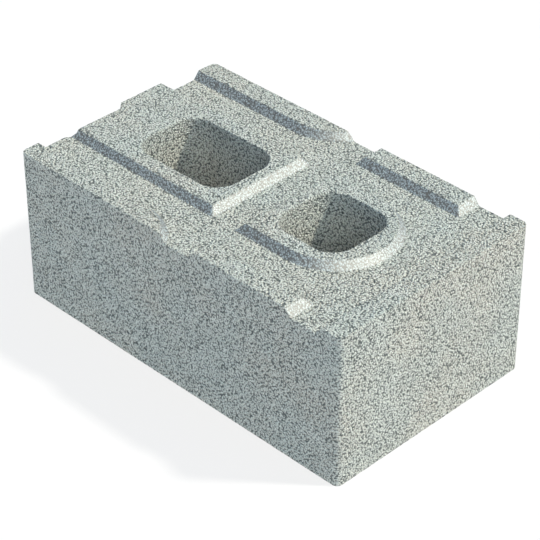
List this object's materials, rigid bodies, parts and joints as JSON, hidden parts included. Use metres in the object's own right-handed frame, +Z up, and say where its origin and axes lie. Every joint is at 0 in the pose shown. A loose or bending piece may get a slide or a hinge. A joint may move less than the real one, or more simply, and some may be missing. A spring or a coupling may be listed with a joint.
{
  "type": "interlocking_concrete_block",
  "caption": "Hollow dry-stack concrete block with raised keys and channels on top, a tongue and groove on one end and a pair of through cores",
  "frame": {"origin": "centre of the bed face that the block lies on, midway between its two ends and its two sides", "axes": "+X along the length to the plain end, +Y to the back side face, +Z up out of the keyed top"},
  "size_m": [0.5, 0.294, 0.195],
  "materials": {
    "concrete": "rough"
  },
  "bodies": {
    "root": {"concrete_block": "concrete"}
  },
  "joints": []
}
